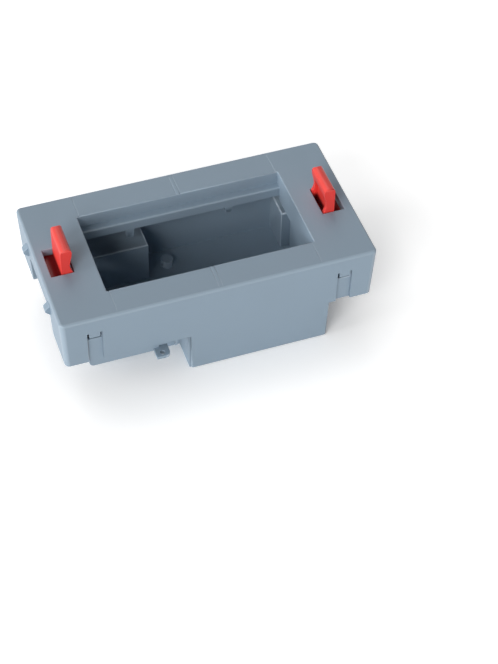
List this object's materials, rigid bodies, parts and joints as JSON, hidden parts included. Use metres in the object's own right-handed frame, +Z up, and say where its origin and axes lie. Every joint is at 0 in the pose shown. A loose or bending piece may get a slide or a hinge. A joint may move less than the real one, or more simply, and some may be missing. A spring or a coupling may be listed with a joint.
{
  "type": "floor box",
  "caption": "Floor box insert for two square wiring modules: a rectangular frame over a stepped base box with cable entries at both ends and two tilting red end levers.",
  "frame": {"origin": "on the resting bottom face, directly below the centre of the module opening", "axes": "+X along the length toward the end nearer the deep part, +Z up out of the module opening, +Y toward the long side without the screw ear"},
  "size_m": [0.1408, 0.0757, 0.059],
  "materials": {
    "grey_plastic": "fine matte moulding texture",
    "red_plastic": "satin moulding"
  },
  "bodies": {
    "box": {"top_frame": "grey_plastic", "base_box": "grey_plastic"},
    "lever_left": {"lever_left": "red_plastic"},
    "lever_right": {"lever_right": "red_plastic"}
  },
  "joints": [
    {"name": "lever_left_tilt", "type": "hinge", "parent": "box", "child": "lever_left", "pos_m": [-0.0575, 0, 0.0376], "axis": [0, -1, 0], "range_deg": [0, 22]},
    {"name": "lever_right_tilt", "type": "hinge", "parent": "box", "child": "lever_right", "pos_m": [0.0575, 0, 0.0376], "axis": [0, 1, 0], "range_deg": [0, 22]}
  ]
}
